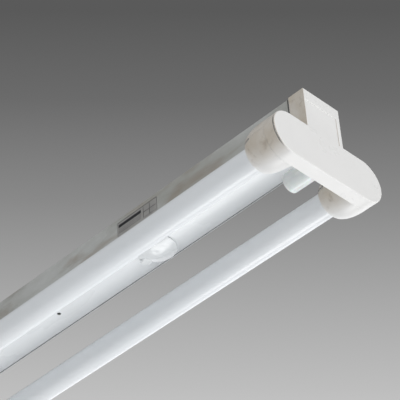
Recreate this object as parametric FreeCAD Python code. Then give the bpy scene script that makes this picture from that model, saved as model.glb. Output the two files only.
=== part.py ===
"""Bare twin-tube fluorescent batten: steel channel with a drop-down gear tray, two T8
tubes, moulded lampholders with a starter in each end, and quarter-turn tray latches.

Frame: origin at the middle of the ceiling face, +X along the light towards end a,
+Y to the right-hand tube, +Z up to the ceiling. Millimetres.
End details are drawn in a local frame with x = 0 at the neck's outer face, the inside
towards -x, and z = 0 at the tube axes, then placed at each end. The wing cover stands
0.9 mm proud of that face.
"""
import FreeCAD, Part
import math
import os

V = FreeCAD.Vector
os.makedirs("parts", exist_ok=True)

# ---------------------------------------------------------------- driving dimensions
LENGTH = 1240.0            # over the two necks
LH = LENGTH / 2
ZT = 72.6                  # ceiling face above the tube axes
TUBE_Y = 49.6              # tube axis from the middle plane
TUBE_R = 13.0              # T8 tube
TUBE_WALL = 0.8
LAMP_FACE = 1199.4         # between the lamp cap faces
LU = (LENGTH - LAMP_FACE) / 2   # lamp cap face from the end face
PIN_R, PIN_PITCH, PIN_OUT = 1.175, 12.7, 7.1
LAMP_CAP_L = 12.0

WING_R = 24.4              # end radius and half height of the lampholder's wall
WING_Z = 0.1
WING_WALL = 2.0
COVER_R = 24.25            # wing cover, a little inside the wall behind it
COVER_X = 0.9              # its front face, proud of the neck
COVER_RIM = 0.95           # rounding of its front rim
WALL_X = 0.1               # joint between cover and wall
PLATE_X0, PLATE_X1 = 11.5, 12.9   # lampholder back plate
MOUTH_R = 14.2
SEAM_Z = 2.0               # split between holder and lower cup
ROTOR_R = 10.0

NECK_W, NECK_D, NECK_WALL = 24.75, 18.9, 2.0
NECK_Z0 = 25.2
RIDGE_Z = 59.3
CH_W, CH_H, CH_T = 24.0, 41.6, 0.7   # half width, height and sheet of the channel
CH_U = 19.9                # channel end from the end face
TRAY_U = 53.0              # tray end from the end face
TRAY_W = 23.0
TRAY_LIP = 14.0

KNOB_U, KNOB_R = 228.0, 21.4
STUD_R = 4.0
START_R, START_TIP, START_BASE = 10.75, 50.0, 14.6
SLOT_X, SLOT_W, SLOT_L = 450.0, 6.5, 20.0
ENTRY_X, ENTRY_R = 75.0, 6.0
BALLAST_X = 174.5
BALLAST_FIX = 72.5
LABEL_X = LH - 228.0


# ---------------------------------------------------------------- helpers
def box(x0, x1, y0, y1, z0, z1):
    return Part.makeBox(x1 - x0, y1 - y0, z1 - z0, V(x0, y0, z0))


def cyl(r, p, d, length):
    return Part.makeCylinder(r, length, V(*p), V(*d))


def cylx(r, x0, x1, y, z):
    return Part.makeCylinder(r, x1 - x0, V(x0, y, z), V(1, 0, 0))


def cylz(r, x, y, z0, z1):
    return Part.makeCylinder(r, z1 - z0, V(x, y, z0), V(0, 0, 1))


def fuse(*s):
    out = s[0]
    if len(s) > 1:
        out = out.multiFuse(list(s[1:]))
    return out.removeSplitter()


def group(solids):
    return Part.makeCompound(solids)


def fillet(s, r, test):
    """Round the edges whose midpoint passes the test."""
    es = []
    for e in s.Edges:
        try:
            p = e.valueAt((e.FirstParameter + e.LastParameter) / 2)
        except Exception:
            continue
        if test(p, e):
            es.append(e)
    return s.makeFillet(r, es) if es else s


def place(s, end):
    """Local end frame to the light's frame."""
    s = s.copy()
    s.translate(V(LH, 0, -ZT))
    if end == "b":
        s.rotate(V(0, 0, 0), V(0, 0, 1), 180)
    return s


def stadium(x0, x1, r, half=TUBE_Y, zc=WING_Z):
    """Stadium prism across the light, x1 < x0."""
    return fuse(
        box(x1, x0, -half, half, zc - r, zc + r),
        cylx(r, x1, x0, -half, zc),
        cylx(r, x1, x0, half, zc),
    )


def loft(sections, side):
    """Smooth body through circles: (depth, outboard shift, radius)."""
    wires = []
    for u, c, r in sections:
        zc = WING_Z * max(0.0, 1 - (u - 12.8) / 25.0)
        circle = Part.makeCircle(r, V(-u, side * (TUBE_Y + c), zc), V(-1, 0, 0))
        wires.append(Part.Wire([circle]))
    return Part.makeLoft(wires, True, False)


def pipe(points, r):
    """Insulated wire along straight runs with round elbows."""
    pts = [V(*p) for p in points]
    parts = []
    for a, b in zip(pts, pts[1:]):
        d = b - a
        parts.append(Part.makeCylinder(r, d.Length, a, d))
    for p in pts[1:-1]:
        parts.append(Part.makeSphere(r, p))
    return fuse(*parts)


nodes = {}

# ---------------------------------------------------------------- channel
x_ch = LH - CH_U
outer = box(-x_ch, x_ch, -CH_W, CH_W, -CH_H, 0)
outer = fillet(outer, 1.6, lambda p, e: abs(p.z) < 1e-6 and abs(abs(p.y) - CH_W) < 1e-6)
inner = box(-x_ch - 1, x_ch + 1, -CH_W + CH_T, CH_W - CH_T, -CH_H - 1, -CH_T)
inner = fillet(inner, 0.9, lambda p, e: abs(p.z + CH_T) < 1e-6 and abs(abs(p.y) - CH_W + CH_T) < 1e-6)
channel = outer.cut(inner)
holes = []
for sx in (-1, 1):
    h = SLOT_W / 2
    a = SLOT_L / 2 - h
    holes.append(fuse(box(sx * SLOT_X - a, sx * SLOT_X + a, -h, h, -2, 1),
                      cylz(h, sx * SLOT_X - a, 0, -2, 1), cylz(h, sx * SLOT_X + a, 0, -2, 1)))
    for y in (-12, 12):
        holes.append(cylz(2.6, sx * (LH - 23.0), y, -2, 1))
holes.append(cylz(10.0, ENTRY_X, 0, -2, 1))
holes.append(cylz(2.05, -95.0, 10.0, -2, 1))
nodes["channel"] = channel.cut(holes)

# hat brackets for the latches, spot welded under the channel's back
bridges = []
for sx in (-1, 1):
    cx = sx * (LH - KNOB_U)
    hat = fuse(
        box(cx - 26, cx - 15, -18, 18, -1.7, -0.7),
        box(cx + 15, cx + 26, -18, 18, -1.7, -0.7),
        box(cx - 16, cx - 15, -18, 18, -21.5, -0.7),
        box(cx + 15, cx + 16, -18, 18, -21.5, -0.7),
        box(cx - 16, cx + 16, -18, 18, -21.5, -20.5),
    )
    hat = hat.cut([cylz(4.8, cx, 0, -23, -19),
                   cylz(0.85, cx, -14, -23, -19), cylz(0.85, cx, 14, -23, -19)])
    bridges.append(hat)
    wire = fuse(
        cyl(0.6, (cx, -14, -18.6), (0, 1, 0), 28),
        Part.makeSphere(0.6, V(cx, -14, -18.6)), Part.makeSphere(0.6, V(cx, 14, -18.6)),
        cylz(0.6, cx, -14, -22.4, -18.6), cylz(0.6, cx, 14, -22.4, -18.6),
        cylz(1.6, cx, -14, -22.4, -21.6), cylz(1.6, cx, 14, -22.4, -21.6),
    )
    nodes["latch_spring_a" if sx > 0 else "latch_spring_b"] = wire
nodes["latch_bridges"] = group(bridges)

# rubber grommet of the cable entry, flush with the ceiling face
grommet = fuse(cylz(9.9, ENTRY_X, 0, -0.7, 0), cylz(12.5, ENTRY_X, 0, -2.4, -0.7),
               cylz(8.4, ENTRY_X, 0, -5.0, -2.4))
nodes["cable_grommet"] = grommet.cut(cylz(ENTRY_R, ENTRY_X, 0, -6, 1))

# earth screw: countersunk stud through the back with a hex nut and washer
hexa = Part.makePolygon([V(-95 + 4.0 * math.cos(math.radians(60 * i)),
                           10 + 4.0 * math.sin(math.radians(60 * i)), -5.0) for i in range(7)])
nut = Part.Face(Part.Wire(hexa.Edges)).extrude(V(0, 0, 3.2))
earth = fuse(cylz(2.0, -95, 10, -12, 0), cylz(4.5, -95, 10, -1.8, -0.7), nut)
nodes["earth_screw"] = earth

# bare foil label on the left side
nodes["rating_label"] = box(LABEL_X - 28.5, LABEL_X + 28.5, -CH_W - 0.12, -CH_W,
                            48.0 - ZT, 66.5 - ZT)

# ---------------------------------------------------------------- gear tray
x_tr = LH - TRAY_U
tray_o = box(-x_tr, x_tr, -TRAY_W, TRAY_W, -CH_H, -CH_H + TRAY_LIP)
tray_o = fillet(tray_o, 1.4, lambda p, e: abs(p.z + CH_H) < 1e-6 and abs(abs(p.y) - TRAY_W) < 1e-6)
tray_i = box(-x_tr + CH_T, x_tr - CH_T, -TRAY_W + CH_T, TRAY_W - CH_T, -CH_H + CH_T, 0)
tray_i = fillet(tray_i, 0.7, lambda p, e: abs(p.z + CH_H - CH_T) < 1e-6 and abs(abs(p.y) - TRAY_W + CH_T) < 1e-6)
tray = tray_o.cut(tray_i)
th = []
for sx in (-1, 1):
    th.append(cylz(4.4, sx * (LH - KNOB_U), 0, -43, -39))
    for s2 in (-1, 1):
        th.append(cylz(2.15, sx * BALLAST_X + s2 * BALLAST_FIX, 0, -43, -39))
nodes["gear_tray"] = tray.cut(th)
zt0 = -CH_H + CH_T         # top of the tray's floor

# ballasts: stacked core on a foot plate, coil through the core
screws = []
for name, sx in (("a", 1), ("b", -1)):
    cx = sx * BALLAST_X
    core = fuse(box(cx - 54, cx + 54, -20, 20, zt0, zt0 + 26.5),
                box(cx - 79, cx + 79, -17, 17, zt0, zt0 + 1.2))
    coil = fuse(box(cx - 62, cx + 62, -11, 11, zt0 + 3.2, zt0 + 23.2),
                box(cx - 64, cx - 54, -15, 15, zt0 + 2.2, zt0 + 24.2),
                box(cx + 54, cx + 64, -15, 15, zt0 + 2.2, zt0 + 24.2))
    core = core.cut(box(cx - 55, cx + 55, -11, 11, zt0 + 3.2, zt0 + 23.2))
    fix = [cylz(2.2, cx + s2 * BALLAST_FIX, 0, zt0 - 1, zt0 + 3) for s2 in (-1, 1)]
    nodes["ballast_core_" + name] = core.cut(fix)
    nodes["ballast_winding_" + name] = fillet(
        coil, 2.0, lambda p, e, c=cx: abs(abs(p.x - c) - 64) < 1e-6)
    for s2 in (-1, 1):
        x = cx + s2 * BALLAST_FIX
        screws.append(fuse(cylz(2.0, x, 0, zt0 + 0.0, zt0 + 1.2), cylz(2.0, x, 0, -CH_H + 0.35, zt0 + 1.2),
                           cylz(3.8, x, 0, zt0 + 1.2, zt0 + 3.6)))
nodes["ballast_screws"] = group(screws)

# power-factor capacitor in its strap
cz = zt0 + 12.8
cap = fuse(cylx(12.5, -78, -22, 0, cz))
cap = fillet(cap, 1.5, lambda p, e: abs(p.x + 78) < 1e-6 or abs(p.x + 22) < 1e-6)
tags = [box(-82, -77.5, y - 3.2, y + 3.2, cz - 0.4, cz + 0.4) for y in (-5, 5)]
nodes["capacitor"] = fuse(cap, *tags)
strap = cylx(13.3, -56, -44, 0, cz).cut(cylx(12.55, -57, -43, 0, cz))
strap = strap.cut(box(-57, -43, -14, 14, zt0 - 2, cz - 6))
strap = fuse(strap, box(-56, -44, 10.6, 19.5, zt0, zt0 + 0.8), box(-56, -44, -19.5, -10.6, zt0, zt0 + 0.8),
             box(-56, -44, 10.6, 11.4, zt0, cz - 5.6), box(-56, -44, -11.4, -10.6, zt0, cz - 5.6))
strap = strap.cut(cylx(12.55, -57, -43, 0, cz))
nodes["capacitor_clip"] = strap

# mains terminal block on the tray under the cable entry
tb = box(8, 44, -10, 10, zt0, zt0 + 16)
tb = fillet(tb, 1.0, lambda p, e: abs(p.z - zt0 - 16) < 1e-6)
tbc, tscr = [], []
for i in range(3):
    x = 14 + 12 * i
    for y in (-6, 6):
        tbc.append(cylz(2.6, x, y, zt0 + 8, zt0 + 17))
        tscr.append(cylz(2.5, x, y, zt0 + 8, zt0 + 13).cut(
            box(x - 3, x + 3, y - 0.4, y + 0.4, zt0 + 12, zt0 + 14)))
    tbc.append(cyl(1.9, (x, -11, zt0 + 5), (0, 1, 0), 22))
nodes["terminal_block"] = tb.cut(tbc)
nodes["terminal_screws"] = group(tscr)

# docking connectors between the tray and the channel
plugs, sockets, twires = [], [], []
for sx in (-1, 1):
    cx = sx * 500.0
    pb = box(cx - 10, cx + 10, -11, 11, zt0, -22.0)
    pb = fillet(pb, 1.0, lambda p, e: abs(p.z + 22.0) < 1e-6)
    blades = [box(cx - 2, cx + 2, y - 0.4, y + 0.4, -23, -14.5) for y in (-7.5, -2.5, 2.5, 7.5)]
    plugs.append(fuse(pb, *blades))
    sb = box(cx - 10, cx + 10, -11, 11, -21.6, -CH_T)
    sb = fillet(sb, 1.0, lambda p, e: abs(p.z + 21.6) < 1e-6)
    sockets.append(sb.cut([box(cx - 2.4, cx + 2.4, y - 0.8, y + 0.8, -22.6, -13.5)
                           for y in (-7.5, -2.5, 2.5, 7.5)]))
    for y in (-7.5, -4.5, 4.5, 7.5):
        twires.append(pipe([(cx - sx * 10, y, -34), (sx * 440, y, -34), (sx * 410, y + (12 if y > 0 else -12) * 0.95, -34),
                            (sx * 376, y + (12 if y > 0 else -12) * 0.95, -34),
                            (sx * 340, y, -30), (sx * (BALLAST_X + 64), y, -30)], 1.0))
nodes["loom_plugs"] = group(plugs)
nodes["loom_sockets"] = group(sockets)
for y, y2 in ((-8.0, -4.0), (8.0, 4.0)):
    twires.append(pipe([(BALLAST_X - 64, y, -30), (92, y, -30), (66, y2, -30), (44, y2, -30)], 1.0))
    twires.append(pipe([(-BALLAST_X + 64, y, -30), (-98, y, -30), (-90, y2 * 1.25, cz), (-82, y2 * 1.25, cz)], 1.0))
twires.append(pipe([(-22, 3, cz), (-6, 3, cz), (2, 3, -31), (8, 3, -31)], 1.0))
nodes["tray_wires"] = group(twires)

# ---------------------------------------------------------------- quarter-turn knobs
for name, sx in (("a", 1), ("b", -1)):
    cx = sx * (LH - KNOB_U)
    k0 = -CH_H - 0.3
    prof = [V(0, 0, k0), V(KNOB_R, 0, k0), V(KNOB_R, 0, k0 - 1.3)]
    edge = [Part.makeLine(prof[0], prof[1]), Part.makeLine(prof[1], prof[2]),
            Part.Arc(V(KNOB_R, 0, k0 - 1.3), V(13.2, 0, k0 - 4.2), V(0, 0, k0 - 5.2)).toShape(),
            Part.makeLine(V(0, 0, k0 - 5.2), prof[0])]
    dome = Part.Face(Part.Wire(edge)).revolve(V(0, 0, 0), V(0, 0, 1), 360)
    if dome.ShapeType != "Solid":
        dome = Part.Solid(Part.Shell(dome.Faces)) if dome.ShapeType == "Shell" else dome.Solids[0]
    tab = box(14.5, 24.6, -5, 5, k0 - 3.6, k0 - 0.2)
    tab = fillet(tab, 1.0, lambda p, e: abs(p.x - 24.6) < 1e-6 or abs(p.z - k0 + 3.6) < 1e-6)
    tab.rotate(V(0, 0, 0), V(0, 0, 1), 164)
    knob = dome.fuse(tab).removeSplitter()
    knob = knob.cut([cylz(STUD_R, 0, 0, k0 - 3.4, k0 + 1)])
    if sx < 0:
        knob.rotate(V(0, 0, 0), V(0, 0, 1), 180)
    knob.translate(V(cx, 0, 0))
    nodes["knob_" + name] = knob
    stud = cylz(STUD_R, 0, 0, k0 - 3.4, -14.5)
    sector = Part.makeCylinder(6, 1.6, V(0, 0, -19.4), V(0, 0, 1), 90)
    sector2 = sector.copy()
    sector2.rotate(V(0, 0, 0), V(0, 0, 1), 180)
    stud = stud.cut([box(-6, 6, -0.8, 0.8, -19.4, -14), box(-0.8, 0.8, -6, 6, -19.4, -17.8), sector, sector2])
    stud = stud.fuse(cylz(6.5, 0, 0, -23.4, -22.2)).removeSplitter()
    if sx < 0:
        stud.rotate(V(0, 0, 0), V(0, 0, 1), 180)
    stud.translate(V(cx, 0, 0))
    nodes["knob_stud_" + name] = stud
    nodes["knob_retainer_" + name] = cylz(9.0, cx, 0, zt0 + 0.3, zt0 + 1.1).cut(cylz(STUD_R, cx, 0, zt0, zt0 + 2))

# ---------------------------------------------------------------- end pieces (local frame)
# wing cover: shallow stadium lid with a lip that plugs into the lampholder's wall
wing = stadium(COVER_X, -WALL_X, COVER_R)
wing = fillet(wing, COVER_RIM, lambda p, e: abs(p.x - COVER_X) < 1e-6)
lip_r = WING_R - WING_WALL - 0.1
lip = stadium(0, -7.0, lip_r).cut(stadium(-1.1, -8.0, lip_r - 1.6))
wing = fuse(wing, lip).cut(box(-8.5, -5.6, -8, 8, 20, 27))

# lampholder: back plate, spigot, two upper half shells
OUTER = [(12.5, 0.0, 24.25), (19.0, 0.4, 24.2), (26.0, 0.8, 23.5), (31.5, 0.9, 22.5), (36.0, 0.8, 21.2),
         (39.6, 0.6, 19.6), (42.0, 0.3, 17.9), (43.4, 0.1, 16.3), (44.0, 0.0, 15.2)]
INNER = [(12.0, 0.0, 22.6), (19.0, 0.4, 22.3), (26.0, 0.8, 21.5), (31.5, 0.9, 20.4), (36.0, 0.8, 18.8),
         (39.4, 0.5, 16.6), (41.2, 0.1, 14.6)]
MOUTH_X = 44.0
plate = stadium(-PLATE_X0, -PLATE_X1, WING_R)
ring = stadium(-WALL_X, -PLATE_X0 - 0.2, WING_R).cut(stadium(-WALL_X + 1, -PLATE_X0 - 1, WING_R - WING_WALL))
ring = ring.cut(box(-PLATE_X0, -6.0, -8, 8, 15, 27))
# pry notches at both ends, to lever the cover off
for s in (-1, 1):
    notch = Part.makeCylinder(WING_R + 2, 0.55, V(-WALL_X - 0.55, 0, WING_Z), V(1, 0, 0), 46)
    notch = notch.cut(cylx(lip_r + 0.05, -2, 1, 0, WING_Z))
    notch.rotate(V(0, 0, WING_Z), V(1, 0, 0), 93 if s < 0 else 221)
    notch.translate(V(0, s * TUBE_Y, 0))
    ring = ring.cut(notch)
tongue = box(-PLATE_X1, -PLATE_X0, -20, 20, 20, 52)
bodies = [plate, ring, tongue]
shell_cut, cups = [], {}
for s in (-1, 1):
    o, i = loft(OUTER, s), loft(INNER, s)
    bore = cylx(MOUTH_R, -48, -39, s * TUBE_Y, 0)
    shell = o.cut([i, bore])
    upper = shell.common(box(-48, -12.9, s * TUBE_Y - 30, s * TUBE_Y + 30, SEAM_Z + 0.1, 30))
    lower = shell.common(box(-48, -13.1, s * TUBE_Y - 30, s * TUBE_Y + 30, -30, SEAM_Z - 0.1))
    # web that guides the rotor
    web = cylx(23.4, -19.0, -16.0, s * (TUBE_Y + 0.4), 0).cut(cylx(ROTOR_R + 0.1, -20, -15, s * TUBE_Y, 0))
    web_u = web.common(box(-20, -15, s * TUBE_Y - 30, s * TUBE_Y + 30, SEAM_Z + 0.1, 30))
    web_l = web.common(box(-20, -15, s * TUBE_Y - 30, s * TUBE_Y + 30, -30, SEAM_Z - 0.1))
    # ribs that carry the contacts
    ribs = [box(-14.8, -12.7, min(a, b), max(a, b), 5, 11)
            for a, b in ((s * TUBE_Y + 8.05, s * TUBE_Y + 10.05), (s * TUBE_Y - 10.05, s * TUBE_Y - 8.05))]
    bodies += [upper, web_u] + ribs
    shell_cut.append(cylx(1.8, -14, -11, s * 36.6, 14.2))
    shell_cut.append(cylx(1.8, -14, -11, s * 41.6, 16.4))
    # relief slots beside the mouth, and snap tabs up into the holder
    lower = fuse(lower, web_l)
    lower = lower.cut([box(-48, -31.0, s * TUBE_Y - 26, s * TUBE_Y + 26, SEAM_Z - 1.15, SEAM_Z + 1)])
    tabs = [box(-28, -22, s * (TUBE_Y + 0.9) + t * 21.3 - 0.6, s * (TUBE_Y + 0.9) + t * 21.3 + 0.6, -3, 6) for t in (-1, 1)]
    tabs = [t.common(i) for t in tabs]
    cups[s] = (lower, tabs)
holder = fuse(*bodies)
holder = holder.cut(shell_cut + [cylx(12.05, -14, -8, 0, 0), cylx(14.1, -11.6, -8, 0, 0)]
                    + [cylx(1.9, -14, -11, y, 45) for y in (-14, 14)])
for s in (-1, 1):
    lower, tabs = cups[s]
    cup = lower.fuse(tabs).removeSplitter()
    cups[s] = cup

# starter socket between the shells
sock = fuse(cylx(12.0, -13.0, -5.5, 0, 0), cylx(14.0, -11.4, -9.5, 0, 0))
sc = []
for s in (-1, 1):
    sc.append(cylx(2.8, -13.5, -7.5, 0, s * 0).translated(V(0, s * PIN_PITCH / 2, 0)))
    arc = Part.makeCylinder(9.0, 3.0, V(-13.5, 0, 0), V(1, 0, 0), 50).cut(cylx(3.7, -14, -10, 0, 0))
    arc.rotate(V(0, 0, 0), V(1, 0, 0), 90 if s > 0 else 270)
    sc.append(arc)
    sc.append(box(-10.2, -7.5, min(s * 8.6, s * 9.5), max(s * 8.6, s * 9.5), -4.3, 4.3))
sock = sock.cut(sc)
start_contacts = [box(-10.0, -7.6, min(s * 8.9, s * 9.3), max(s * 8.9, s * 9.3), -4.1, 4.1) for s in (-1, 1)]

# lamp contacts
lamp_contacts = []
for s in (-1, 1):
    for t in (-1, 1):
        a, b = s * TUBE_Y + t * 7.65, s * TUBE_Y + t * 8.05
        c = s * TUBE_Y + t * 11.0
        lamp_contacts.append(fuse(box(-14.7, -13.3, min(a, b), max(a, b), -3, 13),
                                  box(-14.7, -13.3, min(a, c), max(a, c), 12.2, 13)))

# end cap: neck box, tenon into the channel, apron under the channel's end
neck = box(-NECK_D, -0.7, -NECK_W, NECK_W, NECK_Z0, ZT)
neck = fillet(neck, 1.0, lambda p, e: abs(abs(p.y) - NECK_W) < 1e-6 and abs(p.x + 0.7) < 1e-6)
band = box(-3.0, 0, -NECK_W, NECK_W, RIDGE_Z, ZT)
band = fillet(band, 0.6, lambda p, e: abs(p.x) < 1e-6)
rimr = box(-3.0, -0.15, 19.7, NECK_W, NECK_Z0, RIDGE_Z + 1)
rimr = fillet(rimr, 0.5, lambda p, e: abs(p.x + 0.15) < 1e-6 and abs(p.y - NECK_W) < 1e-6)
riml = box(-3.0, -0.15, -NECK_W, -22.9, NECK_Z0, RIDGE_Z + 1)
riml = fillet(riml, 0.5, lambda p, e: abs(p.x + 0.15) < 1e-6 and abs(p.y + NECK_W) < 1e-6)
cavity = box(-NECK_D - 1, -2.9, -NECK_W + NECK_WALL, NECK_W - NECK_WALL, NECK_Z0 + NECK_WALL, ZT - NECK_WALL)
tenon = box(-27, -15, -23.0, 23.0, 31.9, ZT - CH_T - 0.1)
tenon = fillet(tenon, 1.3, lambda p, e: abs(p.z - ZT + CH_T + 0.1) < 1e-6 and abs(abs(p.y) - 23.0) < 1e-6)
tenon = tenon.cut(box(-28, -14, -21.2, 21.2, 33.7, ZT - CH_T - 1.9))
# vents at the joint with the channel
tenon = tenon.cut([box(-20.3, -18.5, min(a, b), max(a, b), 35.0, 68.5) for a, b in ((-24, -20), (20, 24))])
apron = fuse(box(-52.6, -17, -23.0, 23.0, 31.0, 32.2),
             box(-52.6, -17, -23.0, -21.8, 31.0, 40), box(-52.6, -17, 21.8, 23.0, 31.0, 40))
apron = fillet(apron, 1.0, lambda p, e: abs(p.z - 31) < 1e-6 and abs(abs(p.y) - 23) < 1e-6)
sill = box(-NECK_D, -17.1, -NECK_W, NECK_W, NECK_Z0, 32.2)
nibs = [cylz(2.5, -23.0, y, ZT - 2, ZT) for y in (-12, 12)]
bosses = [cylx(3.6, -11.4, -2.0, y, 45) for y in (-14, 14)]
cap_body = fuse(neck.fuse([band, rimr, riml]).cut(cavity), tenon, apron, sill, *nibs, *bosses)
cap_body = cap_body.cut([box(-13.1, -11.3, -20.4, 20.4, 25, 27.6), box(-11.4, -6.0, -8, 8, 25, 27.6)]
                        + [cylx(1.6, -12, -4.5, y, 45) for y in (-14, 14)])
cap_screw = []
for y in (-14, 14):
    hd = cylx(3.4, -15.1, -12.9, y, 45)
    hd = fillet(hd, 0.8, lambda p, e: abs(p.x + 15.1) < 1e-6)
    hd = hd.cut([box(-15.2, -14.1, y - 2.2, y + 2.2, 44.6, 45.4), box(-15.2, -14.1, y - 0.4, y + 0.4, 42.8, 47.2)])
    cap_screw.append(fuse(hd, cylx(1.55, -13.0, -5.0, y, 45)))

# wires from the contacts to the docking connector
lw = []
for s in (-1, 1):
    inb, outb = s * (TUBE_Y - 9.8), s * (TUBE_Y + 9.8)
    lw.append(pipe([(-14.0, inb, 13.0), (-14.0, inb, 14.2), (-14.0, s * 36.6, 14.2), (-7.6, s * 36.6, 14.2),
                    (-7.6, s * 2.2, 14.2), (-7.6, s * 2.2, 60.0), (-110, s * 2.2, 60.0)], 0.8))
    lw.append(pipe([(-14.0, outb, 13.0), (-14.0, outb, 16.4), (-14.0, s * 41.6, 16.4), (-7.6, s * 41.6, 16.4),
                    (-7.6, s * 5.2, 16.4), (-7.6, s * 5.2, 63.0), (-110, s * 5.2, 63.0)], 0.8))
    lw.append(pipe([(-5.5, s * 7.0, 4.0), (-3.8, s * 7.0, 4.0), (-3.8, s * 7.0, 19.0), (-7.6, s * 7.0, 19.0),
                    (-7.6, s * 7.0, 57.0), (-110, s * 7.0, 57.0)], 0.7))

# starter
sbase = cylx(10.5, -14.6, -13.2, 0, 0)
spins = [fuse(cylx(1.6, -13.2, -9.4, s * PIN_PITCH / 2, 0), cylx(2.4, -9.6, -8.2, s * PIN_PITCH / 2, 0)) for s in (-1, 1)]
can = cylx(START_R, -START_TIP, -START_BASE, 0, 0)
can = fillet(can, 2.2, lambda p, e: abs(p.x + START_TIP) < 1e-6)
can = can.cut(cylx(START_R - 0.9, -START_TIP + 0.9 + 1.6, -START_BASE + 1, 0, 0))
bulb = cylx(4.8, -38, -16.5, 0, 0)
bulb = fillet(bulb, 3.5, lambda p, e: abs(p.x + 38) < 1e-6)
bulb = fuse(bulb, cylx(0.4, -16.6, -14.6, 0, 1.5), cylx(0.4, -16.6, -14.6, 0, -1.5))

for end in ("a", "b"):
    nodes["wing_cover_" + end] = place(wing, end)
    nodes["lampholder_" + end] = place(holder, end)
    nodes["end_cap_" + end] = place(cap_body, end)
    nodes["starter_socket_" + end] = place(sock, end)
    nodes["starter_can_" + end] = place(can, end)
    nodes["starter_base_" + end] = place(sbase, end)
    nodes["starter_pins_" + end] = place(group(spins), end)
    nodes["starter_bulb_" + end] = place(bulb, end)
nodes["lamp_contacts"] = group([place(c, e) for e in ("a", "b") for c in lamp_contacts])
nodes["starter_contacts"] = group([place(c, e) for e in ("a", "b") for c in start_contacts])
nodes["cap_screws"] = group([place(c, e) for e in ("a", "b") for c in cap_screw])
nodes["lamp_wires"] = group([place(c, e) for e in ("a", "b") for c in lw])
# seen from end a, left is -Y; end b is the same moulding turned half round
nodes["lamp_cup_left_a"] = place(cups[-1], "a")
nodes["lamp_cup_right_a"] = place(cups[1], "a")
nodes["lamp_cup_left_b"] = place(cups[1], "b")
nodes["lamp_cup_right_b"] = place(cups[-1], "b")

# ---------------------------------------------------------------- lamps
xf = LH - LU                    # lamp cap face
for name, s in (("left", -1), ("right", 1)):
    y, z = s * TUBE_Y, -ZT
    xg = xf - LAMP_CAP_L - 0.1  # where the glass shows at full size
    glass = fuse(cylx(TUBE_R, -xg, xg, y, z), cylx(TUBE_R - 0.6, -xf + 2.2, xf - 2.2, y, z))
    cav = fuse(cylx(TUBE_R - TUBE_WALL, -xg + 1.5, xg - 1.5, y, z),
               cylx(TUBE_R - 0.6 - TUBE_WALL, -xf + 3.4, xf - 3.4, y, z))
    nodes["lamp_%s_tube" % name] = glass.cut(cav)
    caps, pins, elec, rot = [], [], [], []
    for e in (1, -1):
        a, b = sorted((e * xf, e * (xf - LAMP_CAP_L)))
        cp = cylx(TUBE_R, a, b, y, z)
        cp = fillet(cp, 0.7, lambda p, ed, e=e: abs(p.x - e * xf) < 1e-6)
        a2, b2 = sorted((e * (xf - 0.9), e * (xf - LAMP_CAP_L - 1)))
        cp = cp.cut(cylx(TUBE_R - 0.55, a2, b2, y, z))
        ph = [cylx(PIN_R, min(e * (xf - 2), e * (xf + 2)), max(e * (xf - 2), e * (xf + 2)), y + t * PIN_PITCH / 2, z) for t in (-1, 1)]
        caps.append(cp.cut(ph))
        a3, b3 = sorted((e * (xf - 1.5), e * (xf + PIN_OUT - 0.4)))
        for t in (-1, 1):
            tip = Part.makeCone(PIN_R, PIN_R - 0.4, 0.4, V(e * (xf + PIN_OUT - 0.4), y + t * PIN_PITCH / 2, z), V(e, 0, 0))
            pins.append(fuse(cylx(PIN_R, a3, b3, y + t * PIN_PITCH / 2, z), tip))
        a4, b4 = sorted((e * (xf - 3.4), e * (xf - 22)))
        stem = cylx(4.0, a4, b4, y, z)
        wires = []
        for t in (-1, 1):
            a5, b5 = sorted((e * (xf - 21), e * (xf - 30)))
            wires.append(cylx(0.5, a5, b5, y + t * 3.2, z))
        wires.append(cyl(0.6, (e * (xf - 29.6), y - 5.5, z), (0, 1, 0), 11))
        elec.append(fuse(stem, *wires))
        # rotor behind the lamp face
        def rx(u0, u1, e=e):
            return sorted((e * (LH - u0), e * (LH - u1)))
        r0, r1 = rx(15.9, 20.1)
        f0, f1 = rx(15.0, 15.9)
        ro = fuse(cylx(ROTOR_R, r0, r1, y, z), cylx(ROTOR_R + 1.6, f0, f1, y, z))
        c0, c1 = rx(14, 21)
        half = PIN_PITCH / 2
        slot = fuse(box(c0, c1, y - half, y + half, z - 1.25, z + 1.25), cylx(1.25, c0, c1, y - half, z), cylx(1.25, c0, c1, y + half, z))
        rot.append(ro.cut(slot))
    nodes["lamp_%s_end_caps" % name] = group(caps)
    nodes["lamp_%s_pins" % name] = group(pins)
    nodes["lamp_%s_electrodes" % name] = group(elec)
    nodes["lamp_%s_rotors" % name] = group(rot)

# ---------------------------------------------------------------- export
for name in sorted(nodes):
    s = nodes[name]
    bad = [x for x in s.Solids if not x.isValid()]
    print("%-20s solids %2d valid %s vol %10.1f box %s" % (
        name, len(s.Solids), not bad, sum(x.Volume for x in s.Solids),
        [round(v, 1) for v in (s.BoundBox.XMin, s.BoundBox.XMax, s.BoundBox.YMin, s.BoundBox.YMax, s.BoundBox.ZMin, s.BoundBox.ZMax)]))
    s.exportStep("parts/%s.step" % name)
print(len(nodes), "nodes")
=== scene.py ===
import bpy
import bmesh
import math
from mathutils import Matrix, Vector


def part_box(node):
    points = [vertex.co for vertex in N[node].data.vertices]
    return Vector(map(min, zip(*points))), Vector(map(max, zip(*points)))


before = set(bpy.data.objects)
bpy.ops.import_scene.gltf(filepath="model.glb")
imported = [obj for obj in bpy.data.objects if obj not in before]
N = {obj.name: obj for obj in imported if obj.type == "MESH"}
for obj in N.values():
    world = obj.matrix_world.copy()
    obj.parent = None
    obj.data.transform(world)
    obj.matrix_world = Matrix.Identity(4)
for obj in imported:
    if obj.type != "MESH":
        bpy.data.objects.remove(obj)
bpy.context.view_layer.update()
scene = bpy.context.scene
scene.view_settings.view_transform = "Standard"
scene.view_settings.look = "None"
MM = 0.001

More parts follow.
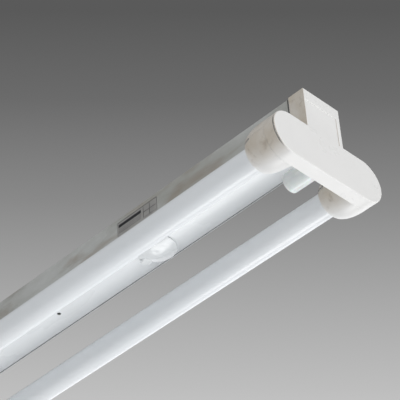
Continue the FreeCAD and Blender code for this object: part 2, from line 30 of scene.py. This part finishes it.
# ---------------------------------------------------------------- camera
yaw, pitch, roll = math.radians(132.330), math.radians(39.544), math.radians(-4.468)
fwd = Vector((math.cos(pitch) * math.cos(yaw), math.cos(pitch) * math.sin(yaw), math.sin(pitch)))
right = fwd.cross(Vector((0, 0, 1))).normalized()
up = right.cross(fwd)
c, s = math.cos(roll), math.sin(roll)
right, up = c * right + s * up, -s * right + c * up
cam_data = bpy.data.cameras.new("camera")
cam_data.sensor_fit = "HORIZONTAL"
cam_data.sensor_width = 36.0
cam_data.lens = 1844.03 / 400.0 * 36.0
cam_data.clip_start = 0.05
cam_data.clip_end = 60.0
camera = bpy.data.objects.new("camera", cam_data)
scene.collection.objects.link(camera)
m = Matrix((right, up, -fwd)).transposed().to_4x4()
m.translation = Vector((1.39853, -1.03430, -1.17546))
camera.matrix_world = m
scene.camera = camera


# ---------------------------------------------------------------- material helpers
def new_mat(name):
    mat = bpy.data.materials.new(name)
    mat.use_nodes = True
    nt = mat.node_tree
    for n in list(nt.nodes):
        nt.nodes.remove(n)
    out = nt.nodes.new("ShaderNodeOutputMaterial")
    bsdf = nt.nodes.new("ShaderNodeBsdfPrincipled")
    nt.links.new(bsdf.outputs[0], out.inputs[0])
    return mat, nt, bsdf


def coords(nt, scale=(1, 1, 1), loc=(0, 0, 0)):
    tc = nt.nodes.new("ShaderNodeTexCoord")
    mp = nt.nodes.new("ShaderNodeMapping")
    mp.inputs["Scale"].default_value = scale
    mp.inputs["Location"].default_value = loc
    nt.links.new(tc.outputs["Object"], mp.inputs["Vector"])
    return mp.outputs[0]


def noise(nt, vec, scale, detail=3.0, rough=0.55, distortion=0.0):
    n = nt.nodes.new("ShaderNodeTexNoise")
    n.inputs["Scale"].default_value = scale
    n.inputs["Detail"].default_value = detail
    n.inputs["Roughness"].default_value = rough
    n.inputs["Distortion"].default_value = distortion
    nt.links.new(vec, n.inputs["Vector"])
    return n.outputs[0]


def ramp(nt, value, stops, smooth=False):
    r = nt.nodes.new("ShaderNodeValToRGB")
    cr = r.color_ramp
    if smooth:
        cr.interpolation = "EASE"
    while len(cr.elements) > len(stops):
        cr.elements.remove(cr.elements[-1])
    while len(cr.elements) < len(stops):
        cr.elements.new(0.5)
    for e, (p, col) in zip(cr.elements, stops):
        e.position = p
        e.color = col if len(col) == 4 else (*col, 1)
    nt.links.new(value, r.inputs[0])
    return r.outputs[0]


def span(nt, value, a, b, lo=0.0, hi=1.0):
    r = nt.nodes.new("ShaderNodeMapRange")
    r.inputs[1].default_value = a
    r.inputs[2].default_value = b
    r.inputs[3].default_value = lo
    r.inputs[4].default_value = hi
    nt.links.new(value, r.inputs[0])
    return r.outputs[0]


def math_n(nt, op, a, b=None, clamp=False):
    n = nt.nodes.new("ShaderNodeMath")
    n.operation = op
    n.use_clamp = clamp
    for i, v in enumerate((a, b)):
        if v is None:
            continue
        if isinstance(v, (int, float)):
            n.inputs[i].default_value = v
        else:
            nt.links.new(v, n.inputs[i])
    return n.outputs[0]


def mix(nt, fac, a, b, blend="MIX"):
    n = nt.nodes.new("ShaderNodeMix")
    n.data_type = "RGBA"
    n.blend_type = blend
    for sock, v in ((n.inputs[0], fac), (n.inputs[6], a), (n.inputs[7], b)):
        if isinstance(v, (int, float)):
            sock.default_value = v
        elif isinstance(v, tuple):
            sock.default_value = v if len(v) == 4 else (*v, 1)
        else:
            nt.links.new(v, sock)
    return n.outputs[2]


def bump(nt, bsdf, height, strength, distance, normal=None):
    b = nt.nodes.new("ShaderNodeBump")
    b.inputs["Strength"].default_value = strength
    b.inputs["Distance"].default_value = distance
    nt.links.new(height, b.inputs["Height"])
    if normal is not None:
        nt.links.new(normal, b.inputs["Normal"])
    nt.links.new(b.outputs[0], bsdf.inputs["Normal"])
    return b.outputs[0]


def put(bsdf, **kw):
    for k, v in kw.items():
        key = {"metal": "Metallic", "rough": "Roughness", "ior": "IOR", "coat": "Coat Weight", "coat_rough": "Coat Roughness",
               "spec": "Specular IOR Level", "trans": "Transmission Weight", "sss": "Subsurface Weight", "alpha": "Alpha",
               "aniso": "Anisotropic"}[k]
        bsdf.inputs[key].default_value = v


def surface(name, base, vary, rough, grain, grain_bump, dirt=None, dirt_amt=0.0, scale=(1, 1, 1), patch=18.0,
            side=None, flank_shade_amt=0.0, shadow_lines=(), **kw):
    """Base colour with broad and fine variation, patchy gloss, a fine surface grain and soft handling marks.
    side is the colour of painted shade on the -Y flank, tinted brown on the mouldings, with darker smudges there that
    partly add to it. Each seam given is drawn as a painted shadow line at its joint, from x0 to x1 at both ends,
    fading out where the surface's normal leaves the y range."""
    mat, nt, bsdf = new_mat(name)
    vec = coords(nt, scale)
    broad = noise(nt, vec, patch, 4.0, 0.6)
    fine = noise(nt, vec, grain, 2.0, 0.5)
    lo = tuple(x * (1 - vary) for x in base)
    hi = tuple(min(1.0, x * (1 + vary * 0.7)) for x in base)
    col = ramp(nt, broad, [(0.3, lo), (0.7, hi)])
    if dirt:
        spots = noise(nt, vec, patch * 2.6, 6.0, 0.68, 0.6)
        fac = span(nt, spots, 0.56, 0.74, 0.0, dirt_amt)
        col = mix(nt, fac, col, dirt)
    # painted shade: surfaces whose normal faces -Y are mixed toward the side colour, more strongly the more they face
    # -Y, as if in shade
    if side:
        geo = nt.nodes.new("ShaderNodeNewGeometry")
        sep = nt.nodes.new("ShaderNodeSeparateXYZ")
        nt.links.new(geo.outputs["Normal"], sep.inputs[0])
        flank = span(nt, sep.outputs[1], -0.2, -0.85, 0.0, flank_shade_amt)
        cloud = span(nt, noise(nt, vec, patch * 1.4, 5.0, 0.62, 0.4), 0.3, 0.7, 0.65, 1.25)
        col = mix(nt, math_n(nt, "MULTIPLY", flank, cloud, True), col, side)
        # darker brown smudges on the -Y flank only: partly smudges, partly painted shade on that side
        flank_smudge_shade = span(nt, noise(nt, vec, patch * 2.8, 3.0, 0.6, 0.3), 0.55, 0.70, 0.0, 0.5)
        col = mix(nt, math_n(nt, "MULTIPLY", span(nt, sep.outputs[1], -0.3, -0.8, 0.0, 1.0), flank_smudge_shade, True), col,
                  (0.30, 0.24, 0.18))
        # painted shadow lines: near-black bands across each joint, only on surfaces facing -Y, standing in for the
        # shade in the gap
        if shadow_lines:
            pos = nt.nodes.new("ShaderNodeTexCoord")
            xyz = nt.nodes.new("ShaderNodeSeparateXYZ")
            nt.links.new(pos.outputs["Object"], xyz.inputs[0])
            ax = math_n(nt, "ABSOLUTE", xyz.outputs[0])
            for x0, x1, z0, z1, soft in shadow_lines:
                inside = math_n(nt, "MULTIPLY", math_n(nt, "GREATER_THAN", ax, x0), math_n(nt, "LESS_THAN", ax, x1))
                zone = math_n(nt, "MULTIPLY", span(nt, xyz.outputs[2], z0, z0 + soft), span(nt, xyz.outputs[2], z1, z1 - soft))
                f = math_n(nt, "MULTIPLY", inside, math_n(nt, "MULTIPLY", zone, span(nt, sep.outputs[1], -0.45, -0.7)))
                col = mix(nt, math_n(nt, "MULTIPLY", f, 0.9, True), col, (0.03, 0.027, 0.022))
    nt.links.new(col, bsdf.inputs["Base Color"])
    rv = span(nt, broad, 0.3, 0.7, rough * 0.85, rough * 1.2)
    nt.links.new(rv, bsdf.inputs["Roughness"])
    bump(nt, bsdf, fine, 0.25, grain_bump)
    put(bsdf, **kw)
    return mat


def assign(mat, *names):
    for n in names:
        me = N[n].data
        me.materials.clear()
        me.materials.append(mat)


# ---------------------------------------------------------------- finishes
# painted shade: a grey side colour on the -Y flank and a painted shadow line at the channel's end where it meets the
# end cap
enamel = surface("white_enamel", (0.89, 0.915, 0.93), 0.03, 0.26, 700.0, 0.00006,
                 dirt=(0.55, 0.54, 0.50), dirt_amt=0.10, scale=(0.35, 1, 1), patch=14.0,
                 side=(0.36, 0.36, 0.325), flank_shade_amt=0.80,
                 shadow_lines=((0.5986, 0.6005, -0.050, 0.010, 0.006),), coat=0.35, coat_rough=0.14)
# painted shade: a brown side colour on the -Y flank, a painted shadow line at the cover joint and another in the slot
# by the lamp mouth
moulding = surface("white_moulding", (0.885, 0.88, 0.865), 0.015, 0.30, 1500.0, 0.00004,
                   dirt=(0.60, 0.55, 0.47), dirt_amt=0.08, patch=26.0,
                   side=(0.55, 0.47, 0.36), flank_shade_amt=0.66,
                   shadow_lines=((0.6188, 0.61995, -0.096, -0.060, 0.006), (0.5755, 0.5880, -0.0720, -0.0693, 0.0002)), spec=0.5)
knob_moulding = surface("knob_moulding", (0.84, 0.865, 0.875), 0.02, 0.22, 1500.0, 0.00004, patch=40.0, coat=0.4, coat_rough=0.08)
black = surface("black_steel", (0.02, 0.02, 0.021), 0.15, 0.5, 1500.0, 0.00002, patch=90.0)
inner_moulding = surface("socket_moulding", (0.82, 0.81, 0.77), 0.03, 0.45, 1200.0, 0.00005,
                         dirt=(0.55, 0.5, 0.42), dirt_amt=0.12, patch=40.0)
aluminium = surface("lamp_cap_aluminium", (0.72, 0.73, 0.74), 0.05, 0.30, 900.0, 0.00003, scale=(6, 1, 1), metal=1.0)
brass = surface("brass", (0.72, 0.56, 0.28), 0.08, 0.28, 1800.0, 0.00002, metal=1.0)
bronze = surface("spring_bronze", (0.66, 0.44, 0.25), 0.10, 0.30, 1500.0, 0.00002, metal=1.0)
zinc = surface("zinc_steel", (0.62, 0.63, 0.63), 0.08, 0.36, 1400.0, 0.00003, dirt=(0.4, 0.38, 0.33), dirt_amt=0.25,
               patch=60.0, metal=1.0)
rubber = surface("rubber", (0.035, 0.035, 0.035), 0.2, 0.65, 1600.0, 0.00006, patch=80.0)
terminal = surface("terminal_body", (0.80, 0.79, 0.74), 0.03, 0.42, 1300.0, 0.00004, dirt=(0.5, 0.45, 0.36), dirt_amt=0.1,
                   patch=60.0)
base_plastic = surface("starter_base", (0.74, 0.72, 0.64), 0.05, 0.5, 1500.0, 0.00004, patch=90.0)
cap_can = surface("capacitor_body", (0.76, 0.76, 0.73), 0.03, 0.4, 1300.0, 0.00004, dirt=(0.5, 0.47, 0.4), dirt_amt=0.15,
                  patch=45.0)
insulation = surface("wire_insulation", (0.80, 0.80, 0.76), 0.04, 0.42, 1700.0, 0.00003, patch=50.0)
nickel = surface("electrode", (0.50, 0.50, 0.51), 0.10, 0.35, 1500.0, 0.00002, patch=90.0, metal=0.8)

assign(enamel, "channel", "gear_tray", "latch_bridges")
assign(moulding, "end_cap_a", "end_cap_b", "wing_cover_a", "wing_cover_b", "lampholder_a", "lampholder_b",
       "lamp_cup_left_a", "lamp_cup_left_b", "lamp_cup_right_a", "lamp_cup_right_b")
assign(knob_moulding, "knob_a", "knob_b")
assign(inner_moulding, "starter_socket_a", "starter_socket_b", "lamp_left_rotors", "lamp_right_rotors",
       "loom_plugs", "loom_sockets")
assign(aluminium, "lamp_left_end_caps", "lamp_right_end_caps")
assign(brass, "lamp_left_pins", "lamp_right_pins", "starter_pins_a", "starter_pins_b", "earth_screw")
assign(bronze, "lamp_contacts", "starter_contacts")
assign(black, "ballast_screws")
assign(zinc, "latch_spring_a", "latch_spring_b", "cap_screws", "capacitor_clip", "terminal_screws",
       "knob_stud_a", "knob_stud_b", "knob_retainer_a", "knob_retainer_b")
assign(rubber, "cable_grommet")
assign(terminal, "terminal_block")
assign(base_plastic, "starter_base_a", "starter_base_b")
assign(cap_can, "capacitor")
assign(insulation, "lamp_wires", "tray_wires")
assign(nickel, "lamp_left_electrodes", "lamp_right_electrodes")


def make_tube_glass():
    """Phosphor-coated glass: cool white coat under a smooth clear wall."""
    mat, nt, bsdf = new_mat("tube_glass")
    vec = coords(nt, (0.3, 1, 1))
    broad = noise(nt, vec, 16.0, 4.0, 0.6)
    grain = noise(nt, coords(nt), 2200.0, 2.0, 0.5)
    col = ramp(nt, broad, [(0.3, (0.88, 0.915, 0.94)), (0.7, (0.92, 0.945, 0.965))])
    nt.links.new(col, bsdf.inputs["Base Color"])
    nt.links.new(span(nt, grain, 0.3, 0.7, 0.30, 0.38), bsdf.inputs["Roughness"])
    bump(nt, bsdf, broad, 0.15, 0.0002)
    put(bsdf, coat=0.5, coat_rough=0.16)
    return mat


def make_starter_can():
    """Translucent milky can."""
    mat, nt, bsdf = new_mat("starter_can")
    vec = coords(nt)
    broad = noise(nt, vec, 60.0, 3.0, 0.6)
    col = ramp(nt, broad, [(0.3, (0.89, 0.915, 0.90)), (0.7, (0.94, 0.955, 0.945))])
    nt.links.new(col, bsdf.inputs["Base Color"])
    nt.links.new(span(nt, broad, 0.3, 0.7, 0.22, 0.32), bsdf.inputs["Roughness"])
    bump(nt, bsdf, noise(nt, vec, 1500.0), 0.15, 0.00003)
    put(bsdf, sss=0.12, coat=0.3, coat_rough=0.1)
    bsdf.inputs["Subsurface Scale"].default_value = 0.004
    return mat


def make_core():
    """Stacked laminations, varnished."""
    mat, nt, bsdf = new_mat("core_steel")
    vec = coords(nt)
    w = nt.nodes.new("ShaderNodeTexWave")
    w.wave_type = "BANDS"
    w.bands_direction = "Y"
    w.inputs["Scale"].default_value = 320.0
    w.inputs["Distortion"].default_value = 0.6
    nt.links.new(vec, w.inputs["Vector"])
    broad = noise(nt, vec, 40.0, 4.0)
    col = ramp(nt, w.outputs[1], [(0.25, (0.05, 0.052, 0.056)), (0.6, (0.17, 0.175, 0.185))])
    col = mix(nt, span(nt, broad, 0.35, 0.7, 0.0, 0.5), col, (0.13, 0.10, 0.07))
    nt.links.new(col, bsdf.inputs["Base Color"])
    nt.links.new(span(nt, broad, 0.3, 0.7, 0.32, 0.55), bsdf.inputs["Roughness"])
    bump(nt, bsdf, w.outputs[1], 0.5, 0.0002)
    put(bsdf, metal=0.55)
    return mat


def make_winding():
    mat, nt, bsdf = new_mat("winding")
    vec = coords(nt)
    w = nt.nodes.new("ShaderNodeTexWave")
    w.wave_type = "BANDS"
    w.bands_direction = "Z"
    w.inputs["Scale"].default_value = 420.0
    w.inputs["Distortion"].default_value = 1.2
    nt.links.new(vec, w.inputs["Vector"])
    col = ramp(nt, w.outputs[1], [(0.2, (0.20, 0.07, 0.025)), (0.7, (0.52, 0.25, 0.10))])
    nt.links.new(col, bsdf.inputs["Base Color"])
    nt.links.new(span(nt, w.outputs[1], 0, 1, 0.45, 0.3), bsdf.inputs["Roughness"])
    bump(nt, bsdf, w.outputs[1], 0.6, 0.0002)
    put(bsdf, coat=0.4, coat_rough=0.2)
    return mat


def make_bulb():
    mat, nt, bsdf = new_mat("bulb_glass")
    vec = coords(nt)
    broad = noise(nt, vec, 120.0, 3.0)
    nt.links.new(ramp(nt, broad, [(0.3, (0.86, 0.90, 0.88)), (0.7, (0.95, 0.97, 0.96))]), bsdf.inputs["Base Color"])
    nt.links.new(span(nt, broad, 0.3, 0.7, 0.02, 0.07), bsdf.inputs["Roughness"])
    put(bsdf, trans=0.9, ior=1.48)
    return mat


def make_label():
    """Grey foil with blank ruled fields and one solid dark bar: no lettering."""
    mat, nt, bsdf = new_mat("label_foil")
    tc = nt.nodes.new("ShaderNodeTexCoord")
    sep = nt.nodes.new("ShaderNodeSeparateXYZ")
    nt.links.new(tc.outputs["Object"], sep.inputs[0])
    lo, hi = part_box("rating_label")
    u = span(nt, sep.outputs[0], lo.x, hi.x, 0.0, 1.0)
    v = span(nt, sep.outputs[2], lo.z, hi.z, 0.0, 1.0)

    def rect(u0, u1, v0, v1):
        a = math_n(nt, "GREATER_THAN", u, u0)
        b = math_n(nt, "LESS_THAN", u, u1)
        d = math_n(nt, "GREATER_THAN", v, v0)
        e = math_n(nt, "LESS_THAN", v, v1)
        return math_n(nt, "MULTIPLY", math_n(nt, "MULTIPLY", a, b), math_n(nt, "MULTIPLY", d, e))

    marks = None
    for r in [(0.03, 0.60, 0.62, 0.84),
              (0.03, 0.60, 0.50, 0.53), (0.03, 0.60, 0.38, 0.41), (0.03, 0.60, 0.26, 0.29),
              (0.655, 0.665, 0.18, 0.94), (0.81, 0.82, 0.18, 0.94), (0.66, 0.97, 0.54, 0.57), (0.66, 0.97, 0.18, 0.20),
              (0.0, 1.0, 0.965, 1.0), (0.0, 0.006, 0.1, 1.0), (0.994, 1.0, 0.1, 1.0)]:
        f = rect(*r)
        marks = f if marks is None else math_n(nt, "MAXIMUM", marks, f)
    broad = noise(nt, tc.outputs["Object"], 90.0, 4.0, 0.6)
    foil = ramp(nt, broad, [(0.3, (0.34, 0.33, 0.315)), (0.7, (0.45, 0.44, 0.42))])
    col = mix(nt, marks, foil, (0.018, 0.018, 0.02))
    nt.links.new(col, bsdf.inputs["Base Color"])
    nt.links.new(span(nt, broad, 0.3, 0.7, 0.28, 0.42), bsdf.inputs["Roughness"])
    bump(nt, bsdf, noise(nt, tc.outputs["Object"], 1500.0), 0.2, 0.00002)
    put(bsdf, metal=0.3)
    return mat


assign(make_tube_glass(), "lamp_left_tube", "lamp_right_tube")
assign(make_starter_can(), "starter_can_a", "starter_can_b")
assign(make_core(), "ballast_core_a", "ballast_core_b")
assign(make_winding(), "ballast_winding_a", "ballast_winding_b")
assign(make_bulb(), "starter_bulb_a", "starter_bulb_b")
assign(make_label(), "rating_label")


# ---------------------------------------------------------------- light and surroundings
world = bpy.data.worlds.new("studio")
scene.world = world
world.use_nodes = True
wt = world.node_tree
for n in list(wt.nodes):
    wt.nodes.remove(n)
wout = wt.nodes.new("ShaderNodeOutputWorld")
wbg = wt.nodes.new("ShaderNodeBackground")
wtc = wt.nodes.new("ShaderNodeTexCoord")
wdot = wt.nodes.new("ShaderNodeVectorMath")
wdot.operation = "DOT_PRODUCT"
wdot.inputs[1].default_value = up
wt.links.new(wtc.outputs["Generated"], wdot.inputs[0])
# dark overhead, pale towards the floor, in the direction that leans with the view
t01 = span(wt, wdot.outputs["Value"], -1.0, 1.0, 0.0, 1.0)


def g(srgb):
    v = srgb / 255.0
    v = ((v + 0.055) / 1.055) ** 2.4
    return (v, v, v)


stops = [(0.0, (1.15, 1.17, 1.20)), (0.25, (1.12, 1.14, 1.17)), (0.40, (0.92, 0.93, 0.95)), (0.447, g(191)), (0.473, g(168)),
         (0.5, g(137)), (0.527, g(107)), (0.553, g(88)), (0.62, (0.30, 0.30, 0.305)), (1.0, (0.50, 0.51, 0.52))]
wt.links.new(ramp(wt, t01, stops), wbg.inputs[0])
wbg.inputs[1].default_value = 1.0
wt.links.new(wbg.outputs[0], wout.inputs[0])


def area(name, loc, target, size, size_y, power, color=(1, 1, 1)):
    d = bpy.data.lights.new(name, "AREA")
    d.shape = "RECTANGLE"
    d.size, d.size_y = size, size_y
    d.energy = power
    d.color = color
    o = bpy.data.objects.new(name, d)
    scene.collection.objects.link(o)
    o.location = loc
    o.rotation_euler = (Vector(target) - Vector(loc)).to_track_quat("-Z", "Y").to_euler()
    return o


area("key", (0.1, 1.5, -2.1), (0.3, 0, -0.05), 2.6, 1.3, 37.5)
area("front", (3.0, 0.3, -0.5), (0.6, 0, -0.06), 1.6, 1.6, 32.5)
area("side", (0.6, -2.6, -0.3), (0.3, 0, -0.06), 2.0, 1.2, 14.0, (0.98, 0.99, 1.0))

bpy.ops.mesh.primitive_plane_add(size=14.0, location=(0, 0, -2.4))
floor = bpy.context.object
floor.name = "floor"
fm, fnt, fb = new_mat("floor")
fn = noise(fnt, coords(fnt), 1.5, 4.0)
fnt.links.new(ramp(fnt, fn, [(0.3, (0.70, 0.70, 0.70)), (0.7, (0.74, 0.74, 0.74))]), fb.inputs["Base Color"])
put(fb, rough=0.7)
floor.data.materials.append(fm)

bpy.context.view_layer.update()
